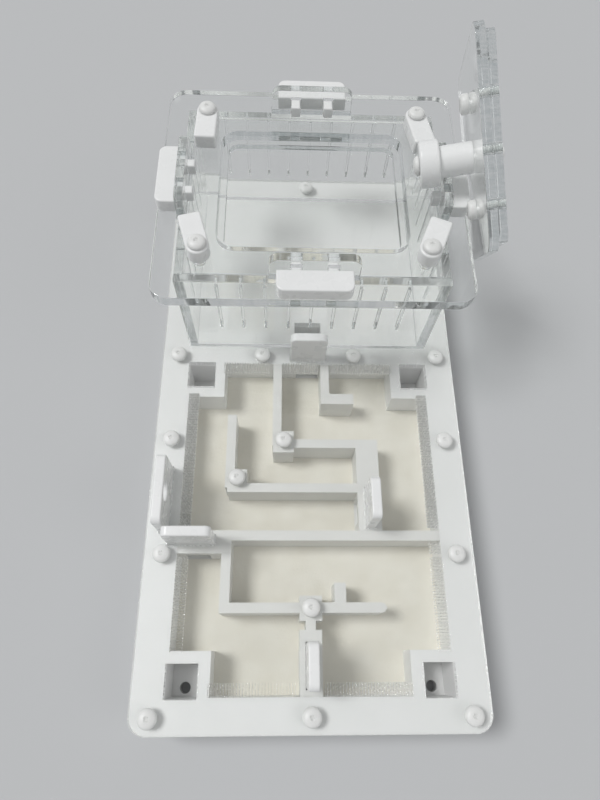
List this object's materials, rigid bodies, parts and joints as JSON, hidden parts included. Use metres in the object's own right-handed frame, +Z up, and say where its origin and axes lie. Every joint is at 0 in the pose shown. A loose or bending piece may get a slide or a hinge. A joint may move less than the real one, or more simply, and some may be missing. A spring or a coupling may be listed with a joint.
{
  "type": "ant habitat",
  "caption": "White ant nest with a plaster floor, walled chambers and lifting gates under a clear cover, joined to a clear foraging box with a lift-off lid.",
  "frame": {"origin": "centre of the flat underside of the nest", "axes": "+X to the right seen from the nest end, +Y to the rear, where the foraging box stands, +Z up"},
  "size_m": [0.1399, 0.256, 0.1398],
  "materials": {
    "nest_plastic": "satin",
    "plaster": "matte",
    "clear_acrylic": "gloss",
    "white_plastic": "satin",
    "nylon": "satin"
  },
  "bodies": {
    "habitat": {"nest_slab": "nest_plastic", "nest_rim": "nest_plastic", "maze_upper": "nest_plastic", "maze_hook": "nest_plastic", "maze_divider": "nest_plastic", "maze_lower": "nest_plastic", "plaster_floor": "plaster", "nest_cover": "clear_acrylic", "cover_screws": "nylon", "maze_screws": "nylon", "box_wall_front": "clear_acrylic", "box_wall_rear": "clear_acrylic", "box_wall_left": "clear_acrylic", "box_wall_right": "clear_acrylic", "top_plate": "clear_acrylic", "ledge_plate": "clear_acrylic", "key_right": "white_plastic", "latch_screws": "nylon"},
    "gate_box_body": {"gate_box": "white_plastic"},
    "gate_left_body": {"gate_left": "white_plastic"},
    "gate_middle_body": {"gate_middle": "white_plastic"},
    "gate_right_body": {"gate_right": "white_plastic"},
    "gate_front_body": {"gate_front": "white_plastic"},
    "key_front_body": {"key_front": "white_plastic"},
    "key_rear_body": {"key_rear": "white_plastic"},
    "key_left_body": {"key_left": "white_plastic"},
    "latch_front_left_body": {"latch_front_left": "white_plastic"},
    "latch_front_right_body": {"latch_front_right": "white_plastic"},
    "latch_rear_left_body": {"latch_rear_left": "white_plastic"},
    "latch_rear_right_body": {"latch_rear_right": "white_plastic"},
    "lid_body": {"lid_plate": "clear_acrylic", "lid_plug": "clear_acrylic", "lid_knob": "white_plastic", "lid_stud": "nylon", "lid_stud_nut": "nylon", "lid_bolts": "nylon", "lid_bolt_nuts": "nylon"}
  },
  "joints": [
    {"name": "gate_box_lift", "type": "slide", "parent": "habitat", "child": "gate_box_body", "axis": [0, 0, 1], "range_m": [0, 0.014]},
    {"name": "gate_left_lift", "type": "slide", "parent": "habitat", "child": "gate_left_body", "axis": [0, 0, 1], "range_m": [0, 0.014]},
    {"name": "gate_middle_lift", "type": "slide", "parent": "habitat", "child": "gate_middle_body", "axis": [0, 0, 1], "range_m": [0, 0.014]},
    {"name": "gate_right_lift", "type": "slide", "parent": "habitat", "child": "gate_right_body", "axis": [0, 0, 1], "range_m": [0, 0.014]},
    {"name": "gate_front_lift", "type": "slide", "parent": "habitat", "child": "gate_front_body", "axis": [0, 0, 1], "range_m": [0, 0.014]},
    {"name": "key_front_draw", "type": "slide", "parent": "habitat", "child": "key_front_body", "axis": [0, -1, 0], "range_m": [0, 0.0065]},
    {"name": "key_rear_draw", "type": "slide", "parent": "habitat", "child": "key_rear_body", "axis": [0, 1, 0], "range_m": [0, 0.0065]},
    {"name": "key_left_draw", "type": "slide", "parent": "habitat", "child": "key_left_body", "axis": [-1, 0, 0], "range_m": [0, 0.0065]},
    {"name": "latch_front_left_turn", "type": "hinge", "parent": "habitat", "child": "latch_front_left_body", "pos_m": [-0.0436, 0.0367, 0.0813], "axis": [0, 0, 1], "continuous": true},
    {"name": "latch_front_right_turn", "type": "hinge", "parent": "habitat", "child": "latch_front_right_body", "pos_m": [0.0436, 0.0367, 0.0813], "axis": [0, 0, 1], "continuous": true},
    {"name": "latch_rear_left_turn", "type": "hinge", "parent": "habitat", "child": "latch_rear_left_body", "pos_m": [-0.0436, 0.1055, 0.0813], "axis": [0, 0, 1], "continuous": true},
    {"name": "latch_rear_right_turn", "type": "hinge", "parent": "habitat", "child": "latch_rear_right_body", "pos_m": [0.0436, 0.1055, 0.0813], "axis": [0, 0, 1], "continuous": true},
    {"name": "lid_lift", "type": "slide", "parent": "habitat", "child": "lid_body", "axis": [0, 0, 1], "range_m": [0, 0.03]}
  ]
}
